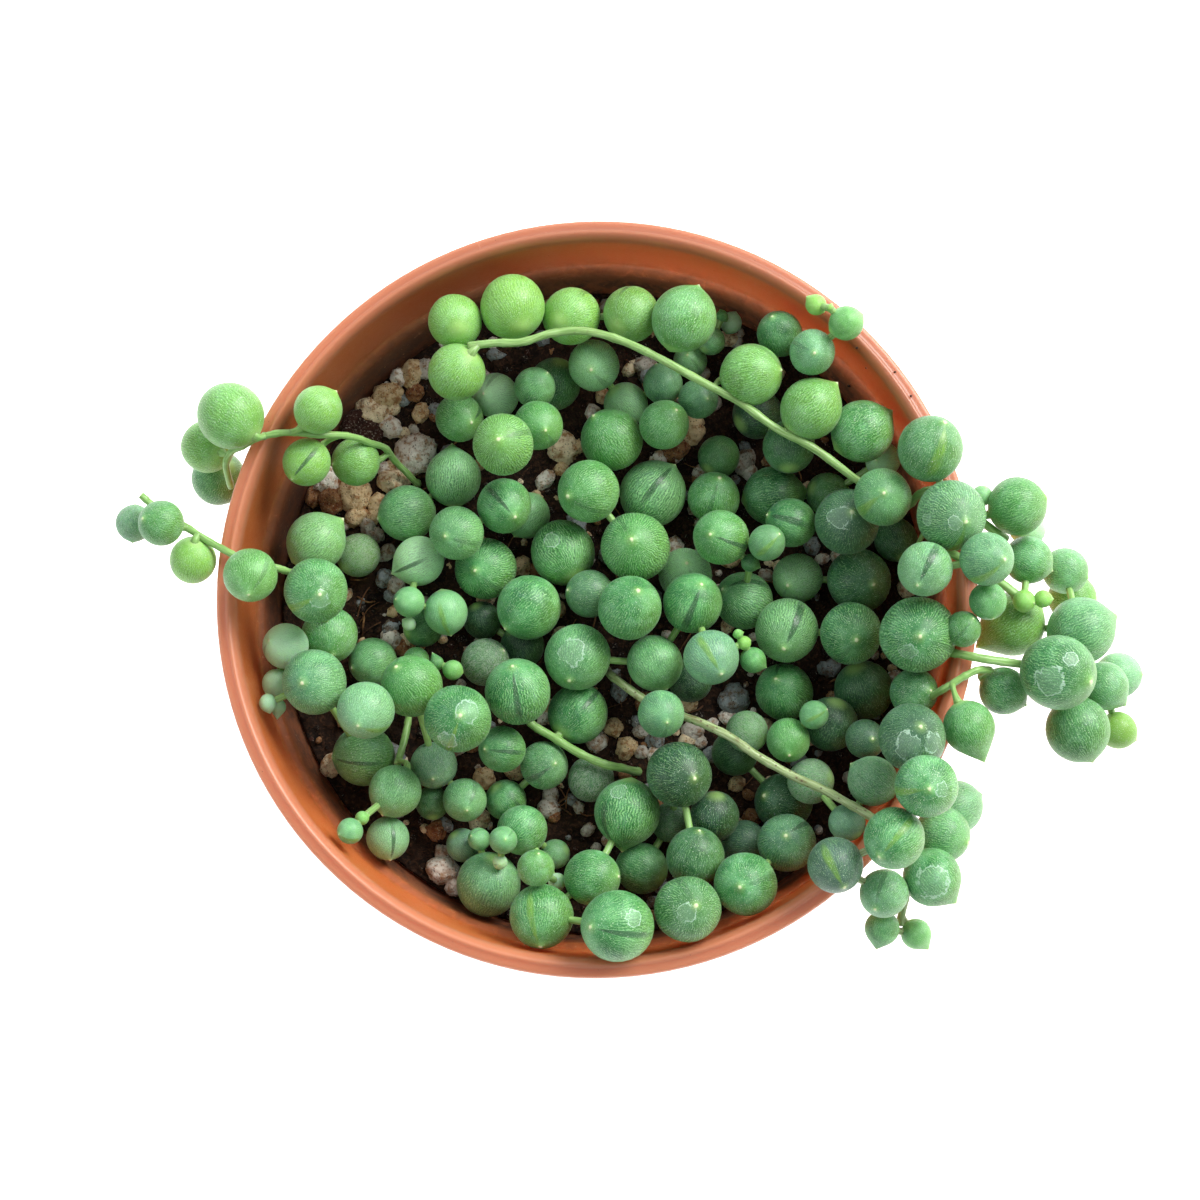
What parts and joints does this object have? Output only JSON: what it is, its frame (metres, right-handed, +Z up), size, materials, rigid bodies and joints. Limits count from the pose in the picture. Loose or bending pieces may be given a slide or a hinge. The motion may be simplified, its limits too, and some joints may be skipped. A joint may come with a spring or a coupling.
{
  "type": "potted trailing succulent",
  "caption": "Trailing succulent with round bead-shaped leaves on thin stems, heaped in a round tapered pot of gritty mix and hanging over its rolled rim.",
  "frame": {"origin": "centre of the pot's underside, on the surface that it stands on", "axes": "+Z up through the pot's rim; +X along the longest overhang, to the right in the picture; +Y towards the picture's top edge"},
  "size_m": [0.1413, 0.104, 0.104],
  "materials": {
    "pot": "satin moulded plastic, terracotta orange-brown",
    "potting_mix": "matte, dark moist peat with pale pumice grit",
    "pearls": "satin, smooth waxy leaf with a faint pale bloom"
  },
  "bodies": {
    "root": {"pot": "pot", "potting_mix": "potting_mix", "string_back_arch": "pearls", "string_back_tip": "pearls", "string_back_middle": "pearls", "string_back_left": "pearls", "string_left_middle": "pearls", "string_middle": "pearls", "string_middle_left": "pearls", "string_middle_right": "pearls", "string_centre_right": "pearls", "string_back_right": "pearls", "string_right": "pearls", "string_right_low": "pearls", "string_over_right_back": "pearls", "string_over_right_young": "pearls", "string_over_right": "pearls", "string_over_right_low": "pearls", "string_old": "pearls", "string_front_right_deep": "pearls", "string_front_right": "pearls", "string_front_middle": "pearls", "string_front": "pearls", "string_front_left": "pearls", "string_front_young": "pearls", "string_left_low": "pearls", "string_left_front": "pearls", "string_left": "pearls", "string_over_left": "pearls", "string_over_left_back": "pearls"}
  },
  "joints": []
}
